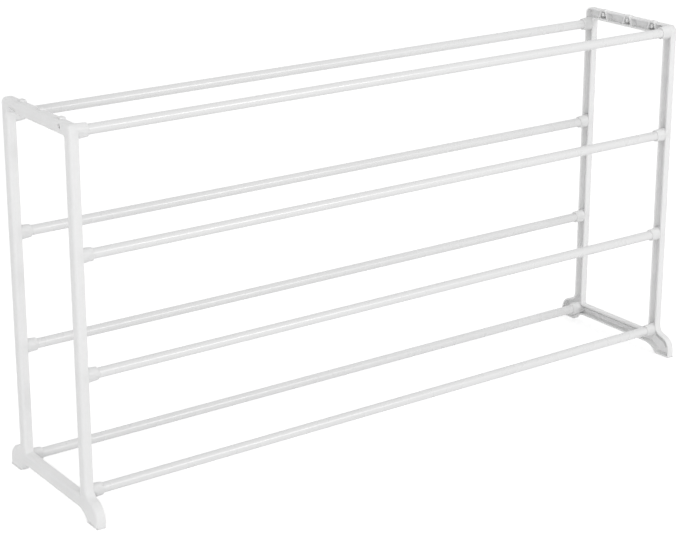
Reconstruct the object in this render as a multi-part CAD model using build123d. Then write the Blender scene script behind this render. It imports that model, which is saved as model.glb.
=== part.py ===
from build123d import *
import math
import os

# Four-tier shoe rack: two moulded end frames joined by eight coated steel tubes.
# Millimetres. X runs along the tubes, -Y is the front, +Z is up.
# The origin is on the floor, under the middle of the rack.

# ---- Driving dimensions: the whole rack ----
rack_length = 914.0          # over the outer faces of the two end frames
tier_count = 4
tier_pitch = 142.2           # from one front tube up to the next
first_tier_height = 33.3     # axis of the lowest front tube above the floor
rear_tube_drop = 13.2        # each rear tube lies this much lower, so the shoes lean back
tube_spacing = 153.0         # front tube axis to rear tube axis

# ---- Driving dimensions: tubes ----
tube_diameter = 12.3
tube_wall = 0.8

# ---- Driving dimensions: end frame section ----
frame_thickness = 11.1       # along X, from the open rim to the outer face
upright_width = 15.0
skin = 2.3                   # side walls of the open channel
web = 2.4                    # closed outer side of the channel
outer_round = 4.0            # rounding of the outer edges
top_margin = 9.1             # top of the frame above the highest tube axis
top_rail_height = 15.0
bottom_rail_height = 16.5
top_corner_radius = 8.5
window_corner_radius = 2.5

# ---- Driving dimensions: feet ----
foot_reach = 26.5            # toe in front of the upright's own front face
foot_arch_height = 11.0      # gap under the bottom rail
foot_pad_length = 26.0       # flat part of the foot on the floor
foot_crown_radius = 19.3     # rounded front of the foot
foot_crown_height = 10.3     # height at which the rounded front begins
foot_neck_radius = 12.0      # hollow between upright and foot
foot_instep_radius = 26.0    # hollow between rail and foot
foot_edge_radius = 2.5       # toe and heel edges, above the sole plate
sole_height = 1.5            # plate under each foot, square-edged
sole_inset = 0.5             # the plate's edges inside the foot's widest outline
foot_rib_gap = 4.8           # from the front foot's outer wall to the rib inside the foot
foot_rib_thickness = 1.6
foot_rib_recess = 0.6        # top of the rib below the rim
foot_rib_bottom = 14.0       # lower end of the rib above the floor

# ---- Driving dimensions: sockets ----
collar_length = 14.0         # collar beyond the rim of the frame
collar_side_wall = 0.9       # wall of the collar's mouth in front of and behind a tube
collar_crown_wall = 1.7      # wall of the collar's mouth above and below a tube
collar_mouth_round = 0.7     # rounding of the mouth's outer edge
collar_base_height = 18.0    # height of the collar where it meets the rim
collar_inset = 0.3           # the collar's base stands this far inside the upright's edges
socket_clearance = 0.1       # radial play of a tube in its socket
seat_depth = 5.0             # a tube's end lies this far inside the rim

# ---- Driving dimensions: clips in the top rail ----
clip_count = 3
clip_spacing = 47.7
clip_crest_width = 9.0
clip_base_width = 19.0
clip_leg = 1.6               # thickness of a clip's legs and crest
clip_proud = 2.0             # clip beyond the rim
clip_crest_rise = 1.4        # crest above the top of the rail
clip_crest_depth = 5.0       # length along X of the crest's raised part, from the rim
stud_width = 3.6
stud_height = 5.4
stud_drop = 5.4              # centre of a clip's stud below the top of the rail
ledge_height = 2.2           # middle of a clip's ledge above the underside of the rail
ledge_thickness = 2.4
ledge_width = 20.5
ledge_proud = 2.8            # ledge beyond the rim

# ---- Driving dimensions: hole and groove in the top rail's outer face ----
hole_diameter = 6.0
hole_offset = 60.0           # centre of the front hole in front of the middle of the rail
hole_drop = 5.5              # centre of the hole below the top of the rail
groove_length = 15.5
groove_height = 2.8
groove_depth = 1.2
groove_offset = 54.5         # centre of the groove behind the middle of the rail
groove_drop = 9.6            # centre of the groove below the top of the rail
groove_slope = 7.5           # degrees; the groove's front end is the lower one
over_cut = 1.0               # a cut runs this far past the faces that it opens

# ---- Driving dimensions: stiffening rib along the bottom rail ----
rail_rib_thickness = 1.4
rail_rib_height = 3.0        # above the web

# ---- Worked out from the above ----
outer_x = rack_length / 2
rim_x = outer_x - frame_thickness                # open side of the right frame
web_x = outer_x - web                            # floor of its channel
tube_y = tube_spacing / 2
upright_front = tube_y + upright_width / 2
upright_back = tube_y - upright_width / 2
toe_y = upright_front + foot_reach
top_z = first_tier_height + (tier_count - 1) * tier_pitch + top_margin
top_rail_z = top_z - top_rail_height
bottom_rail_z = foot_arch_height + bottom_rail_height
socket_bore = tube_diameter + 2 * socket_clearance
collar_mouth_width = socket_bore + 2 * collar_side_wall
collar_mouth_height = socket_bore + 2 * collar_crown_wall
collar_base_width = upright_width - 2 * collar_inset
seat_x = rim_x + seat_depth                      # end of a tube, and bottom of its socket


def tube_heights(side):
    """Heights of the tube axes on the front (-1) or rear (+1) side, from the lowest up."""
    drop = rear_tube_drop if side > 0 else 0.0
    return [first_tier_height - drop + tier * tier_pitch for tier in range(tier_count)]


def foot_points():
    """Tangent points of the foot's front outline and of its instep, as (y, z) pairs."""
    crown = (toe_y - foot_crown_radius, foot_crown_height)
    neck_y = upright_front + foot_neck_radius
    reach = foot_crown_radius + foot_neck_radius
    neck = (neck_y, crown[1] + math.sqrt(reach ** 2 - (neck_y - crown[0]) ** 2))
    share = foot_crown_radius / reach
    join = tuple(c + share * (n - c) for c, n in zip(crown, neck))
    heel_y = toe_y - foot_pad_length
    instep_z = foot_arch_height - foot_instep_radius
    instep_y = heel_y - math.sqrt(foot_instep_radius ** 2 - instep_z ** 2)
    return crown, neck, join, heel_y, (instep_y, instep_z)


def arc(centre, radius, start, end):
    """The short arc from start to end about centre."""
    mid = ((start[0] + end[0]) / 2 - centre[0], (start[1] + end[1]) / 2 - centre[1])
    length = math.hypot(*mid)
    middle = (centre[0] + mid[0] * radius / length, centre[1] + mid[1] * radius / length)
    return ThreePointArc(start, middle, end)


def half_outline():
    """Front or rear half of the frame's outline, from the top middle round to the arch middle."""
    crown, neck, join, heel_y, instep = foot_points()
    corner = (upright_front - top_corner_radius, top_z - top_corner_radius)
    corner_start = (corner[0], top_z)
    corner_end = (upright_front, corner[1])
    neck_start = (upright_front, neck[1])
    crown_end = (toe_y, crown[1])
    arch_end = (instep[0], foot_arch_height)
    heel = (heel_y, 0)
    return [
        Line((0, top_z), corner_start),
        arc(corner, top_corner_radius, corner_start, corner_end),
        Line(corner_end, neck_start),
        arc(neck, foot_neck_radius, neck_start, join),
        arc(crown, foot_crown_radius, join, crown_end),
        Line(crown_end, (toe_y, 0)),
        Line((toe_y, 0), heel),
        arc(instep, foot_instep_radius, heel, arch_end),
        Line(arch_end, (0, foot_arch_height)),
    ]


def frame_faces():
    """Outline and window of the end frame, as two flat faces in the Y-Z plane."""
    half = half_outline()
    other_half = [edge.mirror(Plane.YZ) for edge in half]
    outline = make_face(Wire(half + other_half))
    sole_corners = outline.vertices().filter_by(lambda vertex: abs(vertex.Y) < over_cut)
    outline = fillet(sole_corners, foot_edge_radius)
    window = RectangleRounded(2 * upright_back, top_rail_z - bottom_rail_z, window_corner_radius)
    window = Pos(0, (top_rail_z + bottom_rail_z) / 2) * window
    return outline, window


def at_x(drawing, x):
    """Lay a flat Y-Z drawing on the plane at this X."""
    return Plane(origin=(x, 0, 0), x_dir=(0, 1, 0), z_dir=(1, 0, 0)) * drawing


def slab(drawing, hand, x_start, x_end):
    """Extrude a flat Y-Z drawing between two distances from the middle of the rack.

    The hand is -1 for the left end of the rack and +1 for the right end.
    """
    return extrude(at_x(drawing, hand * x_start), amount=hand * (x_end - x_start))


def socket_places():
    """Centres of the eight tube sockets, as (y, z) pairs."""
    return [(side * tube_y, z) for side in (-1, 1) for z in tube_heights(side)]


def clip_places():
    """Middles of the clips along the top rail."""
    first = -(clip_count - 1) / 2
    return [(first + n) * clip_spacing for n in range(clip_count)]


def socket_root(hand, y, z):
    """Oval block that carries a socket inside the channel."""
    oval = Pos(y, z) * Ellipse(collar_base_width / 2, collar_base_height / 2)
    return slab(oval, hand, rim_x, web_x)


def socket_collar(hand, y, z):
    """Tapered collar from the rim to the mouth of a socket."""
    oval = Pos(y, z) * Ellipse(collar_base_width / 2, collar_base_height / 2)
    mouth = Pos(y, z) * Ellipse(collar_mouth_width / 2, collar_mouth_height / 2)
    ends = [at_x(mouth, hand * (rim_x - collar_length)), at_x(oval, hand * rim_x)]
    collar = loft([end.face() for end in ends])
    mouth_face = collar.faces().sort_by(Axis.X)[0 if hand > 0 else -1]
    return fillet(mouth_face.edges(), collar_mouth_round)


def socket_hole(hand, y, z):
    """Bore that takes a tube's end."""
    bore = Pos(y, z) * Circle(socket_bore / 2)
    return slab(bore, hand, rim_x - collar_length - over_cut, seat_x)


def clip_ring(y):
    """A clip's A-shaped ring and the stud inside it, as a flat drawing."""
    crest = top_z + clip_crest_rise
    foot = top_rail_z + ledge_height
    outside = Polygon(
        (y - clip_base_width / 2, foot),
        (y + clip_base_width / 2, foot),
        (y + clip_crest_width / 2, crest),
        (y - clip_crest_width / 2, crest),
        align=None,
    )
    inside = offset(outside, amount=-clip_leg, kind=Kind.INTERSECTION)
    stud = Pos(y, top_z - stud_drop) * SlotOverall(stud_height, stud_width, 90)
    return outside - inside + stud


def clip(hand, y):
    """One clip of the top rail: the ring, its stud and the ledge across its foot."""
    ring = slab(clip_ring(y), hand, rim_x - clip_proud, web_x)
    above = Rectangle(clip_base_width, 2 * (clip_crest_rise + skin))
    above = Pos(y, top_z + clip_crest_rise) * above
    ring -= slab(above, hand, rim_x + clip_crest_depth, web_x + over_cut)
    bar = Pos(y, top_rail_z + ledge_height) * Rectangle(ledge_width, ledge_thickness)
    return ring + slab(bar, hand, rim_x - ledge_proud, web_x)


def foot_rib(outline):
    """Rib inside the front foot, alongside its outer wall, as a flat drawing."""
    outer_edge = offset(outline, amount=-skin - foot_rib_gap, kind=Kind.INTERSECTION)
    inner_edge = offset(outer_edge, amount=-foot_rib_thickness, kind=Kind.INTERSECTION)
    reach = Polygon(
        (-tube_y, first_tier_height),
        (-toe_y, first_tier_height),
        (-toe_y, foot_rib_bottom),
        (foot_pad_length - toe_y, foot_rib_bottom),
        (-tube_y, first_tier_height - collar_base_height / 2),
        align=None,
    )
    return (outer_edge - inner_edge) & reach


def soles():
    """Plates under the two feet, as a flat drawing."""
    plate = Rectangle(foot_pad_length - 2 * sole_inset, sole_height)
    plate_y = toe_y - foot_pad_length / 2
    return Pos(-plate_y, sole_height / 2) * plate + Pos(plate_y, sole_height / 2) * plate


def end_frame(hand):
    """The left (-1) or right (+1) end frame, one moulding, open towards the tubes."""
    outline, window = frame_faces()
    frame = slab(outline - window, hand, rim_x, outer_x)
    outer_face = frame.faces().sort_by(Axis.X)[-1 if hand > 0 else 0]
    frame = fillet(outer_face.edges(), outer_round)

    inner_outline = offset(outline, amount=-skin, kind=Kind.INTERSECTION)
    inner_window = offset(window, amount=skin, kind=Kind.INTERSECTION)
    frame -= slab(inner_outline - inner_window, hand, rim_x - over_cut, web_x)

    for y, z in socket_places():
        frame += socket_root(hand, y, z) + socket_collar(hand, y, z)
    for y in clip_places():
        frame += clip(hand, y)
    rib_z = (foot_arch_height + bottom_rail_z) / 2
    rib = Pos(0, rib_z) * Rectangle(2 * upright_back, rail_rib_thickness)
    frame += slab(rib, hand, web_x - rail_rib_height, web_x)
    frame += slab(foot_rib(outline), hand, rim_x + foot_rib_recess, web_x)
    frame += slab(soles(), hand, rim_x, outer_x - sole_inset)

    for y, z in socket_places():
        frame -= socket_hole(hand, y, z)
    hole = Pos(-hole_offset, top_z - hole_drop) * Circle(hole_diameter / 2)
    frame -= slab(hole, hand, web_x - over_cut, outer_x + over_cut)
    groove = SlotOverall(groove_length, groove_height, groove_slope)
    groove = Pos(groove_offset, top_z - groove_drop) * groove
    return frame - slab(groove, hand, outer_x - groove_depth, outer_x + over_cut)


def tube(y, z):
    """One steel tube, seated in both frames."""
    ring = Circle(tube_diameter / 2) - Circle(tube_diameter / 2 - tube_wall)
    return slab(Pos(y, z) * ring, 1, -seat_x, seat_x)


os.makedirs("parts", exist_ok=True)
for hand, hand_name in ((-1, "left"), (1, "right")):
    export_step(end_frame(hand), f"parts/end_frame_{hand_name}.step")
for side, side_name in ((-1, "front"), (1, "rear")):
    for tier, height in enumerate(tube_heights(side), start=1):
        export_step(tube(side * tube_y, height), f"parts/tube_{side_name}_tier_{tier}.step")
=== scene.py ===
"""Tiered shoe rack: finish of the moulded end frames and the coated steel tubes, with a plain studio."""
import math

import bpy
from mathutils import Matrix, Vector


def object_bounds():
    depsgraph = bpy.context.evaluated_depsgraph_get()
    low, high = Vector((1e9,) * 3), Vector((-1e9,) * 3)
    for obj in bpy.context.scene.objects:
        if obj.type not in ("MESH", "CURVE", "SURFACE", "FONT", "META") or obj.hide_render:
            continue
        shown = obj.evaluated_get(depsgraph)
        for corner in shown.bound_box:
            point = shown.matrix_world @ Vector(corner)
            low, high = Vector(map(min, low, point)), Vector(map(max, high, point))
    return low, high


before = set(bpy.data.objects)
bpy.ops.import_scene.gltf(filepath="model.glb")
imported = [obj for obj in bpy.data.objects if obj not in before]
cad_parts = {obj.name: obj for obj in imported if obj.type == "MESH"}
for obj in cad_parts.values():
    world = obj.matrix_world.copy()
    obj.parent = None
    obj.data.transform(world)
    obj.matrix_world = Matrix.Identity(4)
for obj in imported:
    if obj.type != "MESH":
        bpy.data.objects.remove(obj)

bl_info = {
    "name": "Tiered Shoe Rack",
    "version": (1, 0, 0),
    "blender": (4, 5, 0),
    "location": "View3D > Sidebar > Shoe Rack",
    "description": "Dresses the end frames and tubes of a tiered shoe rack and sets up a plain studio",
    "category": "Object",
}

MM = 0.001
CAD_BOX = [list(corner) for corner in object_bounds()]

END_FRAMES = sorted(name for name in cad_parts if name.startswith("end_frame"))
TUBES = sorted(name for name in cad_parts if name.startswith("tube"))

# ---- Resin: its patterns, each with a size and the factors between which it shifts a value ----

FLOW_SIZE = 60 * MM
FLOW_STRETCH = (1.0, 1.0, 0.4)
FLOW_SHADE = (0.975, 1.015)
MOTTLE_SIZE = 4 * MM
MOTTLE_SHADE = (0.99, 1.01)
RESIN_PATCH_SIZE = 9 * MM
RESIN_PATCH_ROUGHNESS = (-0.04, 0.05)
GRAIN_HEIGHT = 0.02 * MM
GRAIN_STRENGTH = 0.35
WORN_EDGE_SHADE = 1.03
WORN_EDGE_ROUGHNESS = 0.82
RESIN_IOR = 1.49
RESIN_GLOSS = 0.4
RESIN_GLOW = 0.7

# ---- Powder coat: its patterns, in the same way ----

DRIFT_SIZE = 90 * MM
DRIFT_STRETCH = (0.3, 1.0, 1.0)
DRIFT_SHADE = (0.985, 1.01)
SPECKLE_SIZE = 1.2 * MM
SPECKLE_SHADE = (0.993, 1.007)
COAT_PATCH_SIZE = 15 * MM
COAT_PATCH_ROUGHNESS = (-0.03, 0.04)
PEEL_STRETCH = (0.7, 1.0, 1.0)
PEEL_HEIGHT = 0.03 * MM
PEEL_STRENGTH = 0.12
COAT_EDGE_RADIUS = 0.3 * MM
THIN_EDGE_SHADE = 0.96
COAT_IOR = 1.5
COAT_GLOSS = 0.9

# ---- Floor and camera ----

FLOOR_COLOUR = (0.80, 0.80, 0.80)
FLOOR_GLOW = 0.5
FLOOR_CLOUD_SIZE = 0.4
FLOOR_CLOUD_SHADE = (0.995, 1.005)
FLOOR_SIDES = 96
FLOOR_BORDER = 0.5
SENSOR_WIDTH = 36.0
CLIP_START = 0.01
CLIP_END = 50.0

# ---- Shader helpers ----

NOISE_SPAN = (0.3, 0.7)              # most of a noise lies between these
MASK_SPAN = (0.0, 1.0)
EDGE_AGREEMENT = (0.75, 0.995)       # how far two normals agree at an edge, and on a flat
EDGE_SAMPLES = 6


# ---- Sizes and colours that a user would change ----

class ResinSettings(bpy.types.PropertyGroup):
    """Finish of the moulded end frames."""

    colour: bpy.props.FloatVectorProperty(
        name="Resin colour",
        description="Colour of the white moulding resin",
        subtype="COLOR",
        size=4,
        min=0.0,
        max=1.0,
        default=(0.86, 0.86, 0.86, 1.0),
    )
    roughness: bpy.props.FloatProperty(
        name="Roughness",
        description="Roughness of the moulded surface",
        min=0.0,
        max=1.0,
        default=0.42,
    )
    glow_depth: bpy.props.FloatProperty(
        name="Glow depth",
        description="How far light wanders inside the resin",
        subtype="DISTANCE",
        unit="LENGTH",
        default=2.0 * MM,
    )
    grain_size: bpy.props.FloatProperty(
        name="Grain size",
        description="Size of the fine texture that the mould leaves",
        subtype="DISTANCE",
        unit="LENGTH",
        default=0.5 * MM,
    )
    edge_radius: bpy.props.FloatProperty(
        name="Edge softness",
        description="How far the softness and wear of an edge reach",
        subtype="DISTANCE",
        unit="LENGTH",
        default=0.5 * MM,
    )


class TubeSettings(bpy.types.PropertyGroup):
    """Finish of the steel tubes."""

    colour: bpy.props.FloatVectorProperty(
        name="Coating colour",
        description="Colour of the white powder coat",
        subtype="COLOR",
        size=4,
        min=0.0,
        max=1.0,
        default=(0.81, 0.81, 0.81, 1.0),
    )
    roughness: bpy.props.FloatProperty(
        name="Roughness",
        description="Roughness of the powder coat",
        min=0.0,
        max=1.0,
        default=0.28,
    )
    peel_size: bpy.props.FloatProperty(
        name="Orange peel size",
        description="Size of the soft waves in the powder coat",
        subtype="DISTANCE",
        unit="LENGTH",
        default=2.2 * MM,
    )


class StudioSettings(bpy.types.PropertyGroup):
    """Camera, floor and lights."""

    lens: bpy.props.FloatProperty(
        name="Lens",
        description="Focal length of the camera on a 36 mm wide sensor",
        unit="CAMERA",
        default=98.9,
    )
    camera_place: bpy.props.FloatVectorProperty(
        name="Camera place",
        description="Where the camera stands",
        subtype="TRANSLATION",
        unit="LENGTH",
        default=(-1.3428, -1.8284, 0.9787),
    )
    camera_pan: bpy.props.FloatProperty(
        name="Pan",
        description="How far the camera looks to the right of straight back",
        subtype="ANGLE",
        default=math.radians(35.45),
    )
    camera_dip: bpy.props.FloatProperty(
        name="Dip",
        description="How far the camera looks down",
        subtype="ANGLE",
        default=math.radians(17.26),
    )
    camera_shift: bpy.props.FloatProperty(
        name="Vertical shift",
        description="Shift of the picture, as a share of its width",
        default=-0.10,
    )
    floor_radius: bpy.props.FloatProperty(
        name="Floor radius",
        description="Radius of the round floor",
        subtype="DISTANCE",
        unit="LENGTH",
        default=12.0,
    )
    ambient: bpy.props.FloatProperty(
        name="Ambient light",
        description="Strength of the even light from all round",
        min=0.0,
        default=0.68,
    )
    key_lamp_place: bpy.props.FloatVectorProperty(
        name="Key lamp place",
        description="Where the soft lamp in front of the rack stands",
        subtype="TRANSLATION",
        unit="LENGTH",
        default=(1.1, -2.2, 1.3),
    )
    key_lamp_size: bpy.props.FloatVectorProperty(
        name="Key lamp size",
        description="Width and height of the soft lamp in front of the rack",
        size=2,
        unit="LENGTH",
        default=(0.9, 0.35),
    )
    key_lamp: bpy.props.FloatProperty(
        name="Key lamp",
        description="Power of the soft lamp in front of the rack",
        unit="POWER",
        default=11.0,
    )
    far_lamp_place: bpy.props.FloatVectorProperty(
        name="Far lamp place",
        description="Where the large lamp on the left of the rack stands",
        subtype="TRANSLATION",
        unit="LENGTH",
        default=(-5.0, -5.4, 1.6),
    )
    far_lamp_size: bpy.props.FloatVectorProperty(
        name="Far lamp size",
        description="Width and height of the large lamp on the left of the rack",
        size=2,
        unit="LENGTH",
        default=(5.0, 3.0),
    )
    far_lamp: bpy.props.FloatProperty(
        name="Far lamp",
        description="Power of the large lamp on the left of the rack",
        unit="POWER",
        default=128.0,
    )


# ---- Shader building ----

class Nodes:
    """Adds nodes to a material and links them."""

    def __init__(self, material):
        material.use_nodes = True
        self.tree = material.node_tree
        self.tree.nodes.clear()

    def add(self, kind, **values):
        """A new node, with the given attributes set."""
        node = self.tree.nodes.new(kind)
        for name, value in values.items():
            setattr(node, name, value)
        return node

    def link(self, source, target):
        """Joins an output to an input."""
        self.tree.links.new(source, target)


def noise(nodes, coordinates, size, detail=2.0, stretch=(1.0, 1.0, 1.0)):
    """Noise whose waves are about the given size, in metres."""
    mapping = nodes.add("ShaderNodeMapping")
    mapping.inputs["Scale"].default_value = stretch
    nodes.link(coordinates, mapping.inputs["Vector"])
    texture = nodes.add("ShaderNodeTexNoise")
    texture.inputs["Scale"].default_value = 1.0 / size
    texture.inputs["Detail"].default_value = detail
    nodes.link(mapping.outputs["Vector"], texture.inputs["Vector"])
    return texture.outputs["Fac"]


def spread(nodes, value, low, high, span=NOISE_SPAN):
    """The value, which lies in the span, mapped to low to high."""
    node = nodes.add("ShaderNodeMapRange")
    node.inputs["From Min"].default_value = span[0]
    node.inputs["From Max"].default_value = span[1]
    node.inputs["To Min"].default_value = low
    node.inputs["To Max"].default_value = high
    nodes.link(value, node.inputs["Value"])
    return node.outputs["Result"]


def patches(nodes, place, size, middle, change):
    """A roughness that wanders about its middle in patches of a size."""
    low, high = change
    return spread(nodes, noise(nodes, place, size, 3.0), middle + low, middle + high)


def multiply(nodes, first, second):
    """The product of two outputs."""
    node = nodes.add("ShaderNodeMath", operation="MULTIPLY")
    nodes.link(first, node.inputs[0])
    nodes.link(second, node.inputs[1])
    return node.outputs[0]


def tinted(nodes, colour, factor):
    """The colour, made lighter or darker by a factor near 1."""
    node = nodes.add("ShaderNodeVectorMath", operation="SCALE")
    node.inputs[0].default_value = colour[:3]
    nodes.link(factor, node.inputs["Scale"])
    return node.outputs["Vector"]


def bump(nodes, height, distance, strength, normal):
    """The normal, tilted by a height whose full swing is the distance."""
    node = nodes.add("ShaderNodeBump")
    node.inputs["Strength"].default_value = strength
    node.inputs["Distance"].default_value = distance
    nodes.link(height, node.inputs["Height"])
    nodes.link(normal, node.inputs["Normal"])
    return node.outputs["Normal"]


def edge_mask(nodes, radius):
    """Softened normal near edges, and 1 at an edge falling to 0 on flats."""
    rounded = nodes.add("ShaderNodeBevel", samples=EDGE_SAMPLES)
    rounded.inputs["Radius"].default_value = radius
    geometry = nodes.add("ShaderNodeNewGeometry")
    agree = nodes.add("ShaderNodeVectorMath", operation="DOT_PRODUCT")
    nodes.link(rounded.outputs["Normal"], agree.inputs[0])
    nodes.link(geometry.outputs["Normal"], agree.inputs[1])
    return rounded.outputs["Normal"], spread(nodes, agree.outputs["Value"], 1.0, 0.0, EDGE_AGREEMENT)


def at_edges(nodes, edges, factor):
    """The factor at an edge, and 1 on flats."""
    return spread(nodes, edges, 1.0, factor, MASK_SPAN)


def resin_material(settings):
    """Satin white moulding resin: faint flow marks, fine mould grain, edges polished by handling."""
    material = bpy.data.materials.new("white_moulding_resin")
    nodes = Nodes(material)
    place = nodes.add("ShaderNodeTexCoord").outputs["Object"]
    normal, edges = edge_mask(nodes, settings.edge_radius)

    flow = spread(nodes, noise(nodes, place, FLOW_SIZE, 3.0, FLOW_STRETCH), *FLOW_SHADE)
    mottle = spread(nodes, noise(nodes, place, MOTTLE_SIZE, 4.0), *MOTTLE_SHADE)
    wear = at_edges(nodes, edges, WORN_EDGE_SHADE)
    shade = multiply(nodes, multiply(nodes, flow, mottle), wear)

    shader = nodes.add("ShaderNodeBsdfPrincipled")
    nodes.link(tinted(nodes, settings.colour, shade), shader.inputs["Base Color"])
    grain = noise(nodes, place, settings.grain_size)
    rough = patches(nodes, place, RESIN_PATCH_SIZE, settings.roughness, RESIN_PATCH_ROUGHNESS)
    polish = at_edges(nodes, edges, WORN_EDGE_ROUGHNESS)
    nodes.link(multiply(nodes, rough, polish), shader.inputs["Roughness"])
    nodes.link(bump(nodes, grain, GRAIN_HEIGHT, GRAIN_STRENGTH, normal), shader.inputs["Normal"])
    shader.inputs["IOR"].default_value = RESIN_IOR
    shader.inputs["Specular IOR Level"].default_value = RESIN_GLOSS
    shader.inputs["Subsurface Weight"].default_value = RESIN_GLOW
    shader.inputs["Subsurface Radius"].default_value = (1.0, 1.0, 1.0)
    shader.inputs["Subsurface Scale"].default_value = settings.glow_depth
    output = nodes.add("ShaderNodeOutputMaterial")
    nodes.link(shader.outputs["BSDF"], output.inputs["Surface"])
    return material


def powder_coat_material(settings):
    """Smooth white powder coat on steel tube: soft orange peel and a semi-gloss surface."""
    material = bpy.data.materials.new("white_powder_coat")
    nodes = Nodes(material)
    place = nodes.add("ShaderNodeTexCoord").outputs["Object"]
    normal, edges = edge_mask(nodes, COAT_EDGE_RADIUS)

    drift = spread(nodes, noise(nodes, place, DRIFT_SIZE, stretch=DRIFT_STRETCH), *DRIFT_SHADE)
    speckle = spread(nodes, noise(nodes, place, SPECKLE_SIZE, 3.0), *SPECKLE_SHADE)
    thin_coat = at_edges(nodes, edges, THIN_EDGE_SHADE)
    shade = multiply(nodes, multiply(nodes, drift, speckle), thin_coat)

    shader = nodes.add("ShaderNodeBsdfPrincipled")
    nodes.link(tinted(nodes, settings.colour, shade), shader.inputs["Base Color"])
    rough = patches(nodes, place, COAT_PATCH_SIZE, settings.roughness, COAT_PATCH_ROUGHNESS)
    nodes.link(rough, shader.inputs["Roughness"])
    peel = noise(nodes, place, settings.peel_size, stretch=PEEL_STRETCH)
    nodes.link(bump(nodes, peel, PEEL_HEIGHT, PEEL_STRENGTH, normal), shader.inputs["Normal"])
    shader.inputs["IOR"].default_value = COAT_IOR
    shader.inputs["Specular IOR Level"].default_value = COAT_GLOSS
    output = nodes.add("ShaderNodeOutputMaterial")
    nodes.link(shader.outputs["BSDF"], output.inputs["Surface"])
    return material


def seen_directly(nodes):
    """1 for a ray from the camera, off a gloss or through glass, and 0 for one that carries light."""
    path = nodes.add("ShaderNodeLightPath")
    either = nodes.add("ShaderNodeMath", operation="MAXIMUM")
    nodes.link(path.outputs["Is Camera Ray"], either.inputs[0])
    nodes.link(path.outputs["Is Glossy Ray"], either.inputs[1])
    seen = nodes.add("ShaderNodeMath", operation="MAXIMUM")
    nodes.link(either.outputs[0], seen.inputs[0])
    nodes.link(path.outputs["Is Transmission Ray"], seen.inputs[1])
    return seen.outputs[0]


def floor_material():
    """Pale floor that keeps a shadow and shows as white where it is seen directly."""
    material = bpy.data.materials.new("pale_floor")
    nodes = Nodes(material)
    place = nodes.add("ShaderNodeTexCoord").outputs["Object"]
    matt = nodes.add("ShaderNodeBsdfDiffuse")
    cloud = spread(nodes, noise(nodes, place, FLOOR_CLOUD_SIZE), *FLOOR_CLOUD_SHADE)
    nodes.link(tinted(nodes, FLOOR_COLOUR, cloud), matt.inputs["Color"])
    glow = nodes.add("ShaderNodeEmission")
    strength = nodes.add("ShaderNodeMath", operation="MULTIPLY")
    strength.inputs[1].default_value = FLOOR_GLOW
    nodes.link(seen_directly(nodes), strength.inputs[0])
    nodes.link(strength.outputs[0], glow.inputs["Strength"])
    both = nodes.add("ShaderNodeAddShader")
    nodes.link(matt.outputs["BSDF"], both.inputs[0])
    nodes.link(glow.outputs["Emission"], both.inputs[1])
    output = nodes.add("ShaderNodeOutputMaterial")
    nodes.link(both.outputs["Shader"], output.inputs["Surface"])
    return material


def dress(names, material):
    """Give CAD nodes a finish of their own."""
    for name in names:
        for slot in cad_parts[name].material_slots:
            slot.material = material


# ---- Stage ----

def make_floor(settings):
    """A round floor with a narrow border."""
    bpy.ops.object.select_all(action="DESELECT")
    bpy.ops.mesh.primitive_circle_add(
        vertices=FLOOR_SIDES, radius=settings.floor_radius, fill_type="NGON"
    )
    floor = bpy.context.object
    floor.name = "studio_floor"
    bpy.ops.object.mode_set(mode="EDIT")
    bpy.ops.mesh.select_all(action="SELECT")
    bpy.ops.mesh.inset(thickness=FLOOR_BORDER)
    bpy.ops.object.mode_set(mode="OBJECT")
    floor.data.materials.append(floor_material())


def make_world(settings):
    """Even light all round, which the camera, glosses and glass see as white."""
    world = bpy.data.worlds.new("studio_world")
    bpy.context.scene.world = world
    nodes = Nodes(world)
    strength = nodes.add("ShaderNodeMapRange")
    strength.inputs["To Min"].default_value = settings.ambient
    strength.inputs["To Max"].default_value = 1.0
    nodes.link(seen_directly(nodes), strength.inputs["Value"])
    background = nodes.add("ShaderNodeBackground")
    nodes.link(strength.outputs["Result"], background.inputs["Strength"])
    background.inputs["Color"].default_value = (1.0, 1.0, 1.0, 1.0)
    output = nodes.add("ShaderNodeOutputWorld")
    nodes.link(background.outputs["Background"], output.inputs["Surface"])


def soft_lamp(name, place, size, power):
    """A rectangular lamp, turned to the middle of the rack."""
    bpy.ops.object.select_all(action="DESELECT")
    low, high = CAD_BOX
    middle = (Vector(low) + Vector(high)) / 2
    facing = (middle - Vector(place)).to_track_quat("-Z", "Y").to_euler()
    bpy.ops.object.light_add(type="AREA", location=place, rotation=facing)
    lamp = bpy.context.object
    lamp.name = name
    lamp.data.shape = "RECTANGLE"
    lamp.data.size, lamp.data.size_y = size
    lamp.data.energy = power


def make_camera(settings):
    """The camera, looking down on the rack from the front left."""
    bpy.ops.object.select_all(action="DESELECT")
    bpy.ops.object.camera_add(location=settings.camera_place)
    camera = bpy.context.object
    camera.name = "studio_camera"
    camera.rotation_euler = (math.pi / 2 - settings.camera_dip, 0.0, -settings.camera_pan)
    camera.data.sensor_width = SENSOR_WIDTH
    camera.data.lens = settings.lens
    camera.data.shift_y = settings.camera_shift
    camera.data.clip_start = CLIP_START
    camera.data.clip_end = CLIP_END
    bpy.context.scene.camera = camera


# ---- Operators ----

class SHOERACK_OT_end_frames(bpy.types.Operator):
    """Finish the two moulded end frames"""

    bl_idname = "shoerack.end_frames"
    bl_label = "Finish End Frames"

    def execute(self, context):
        dress(END_FRAMES, resin_material(context.scene.rack_resin))
        return {"FINISHED"}


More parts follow.
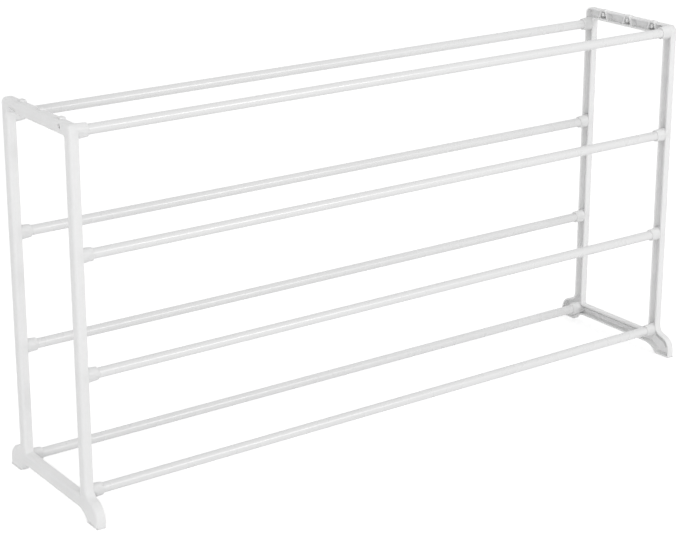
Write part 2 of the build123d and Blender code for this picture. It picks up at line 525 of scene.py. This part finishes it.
class SHOERACK_OT_tubes(bpy.types.Operator):
    """Finish the eight steel tubes"""

    bl_idname = "shoerack.tubes"
    bl_label = "Finish Tubes"

    def execute(self, context):
        dress(TUBES, powder_coat_material(context.scene.rack_tubes))
        return {"FINISHED"}


class SHOERACK_OT_studio(bpy.types.Operator):
    """Set up the floor, the lights and the camera"""

    bl_idname = "shoerack.studio"
    bl_label = "Set Up Studio"

    def execute(self, context):
        settings = context.scene.rack_studio
        make_floor(settings)
        make_world(settings)
        soft_lamp("key_lamp", settings.key_lamp_place, settings.key_lamp_size, settings.key_lamp)
        soft_lamp("far_lamp", settings.far_lamp_place, settings.far_lamp_size, settings.far_lamp)
        make_camera(settings)
        return {"FINISHED"}


class SHOERACK_PT_panel(bpy.types.Panel):
    """Lists the steps that finish the shoe rack"""

    bl_idname = "SHOERACK_PT_panel"
    bl_label = "Shoe Rack"
    bl_space_type = "VIEW_3D"
    bl_region_type = "UI"
    bl_category = "Shoe Rack"

    def draw(self, context):
        for operator in OPERATORS:
            self.layout.operator(operator.bl_idname)


# ---- Registration and run ----

OPERATORS = (SHOERACK_OT_end_frames, SHOERACK_OT_tubes, SHOERACK_OT_studio)
SETTINGS = {"rack_resin": ResinSettings, "rack_tubes": TubeSettings, "rack_studio": StudioSettings}
CLASSES = (*SETTINGS.values(), *OPERATORS, SHOERACK_PT_panel)


def register():
    """Makes the settings, operators and panel known."""
    for cls in CLASSES:
        bpy.utils.register_class(cls)
    for name, group in SETTINGS.items():
        setattr(bpy.types.Scene, name, bpy.props.PointerProperty(type=group))


def unregister():
    """Takes them away again."""
    for name in SETTINGS:
        delattr(bpy.types.Scene, name)
    for cls in reversed(CLASSES):
        bpy.utils.unregister_class(cls)


def main():
    """Dresses the rack and sets up the stage."""
    register()
    bpy.context.scene.view_settings.view_transform = "Standard"
    bpy.ops.shoerack.end_frames()
    bpy.ops.shoerack.tubes()
    bpy.ops.shoerack.studio()


if __name__ == "__main__":
    main()
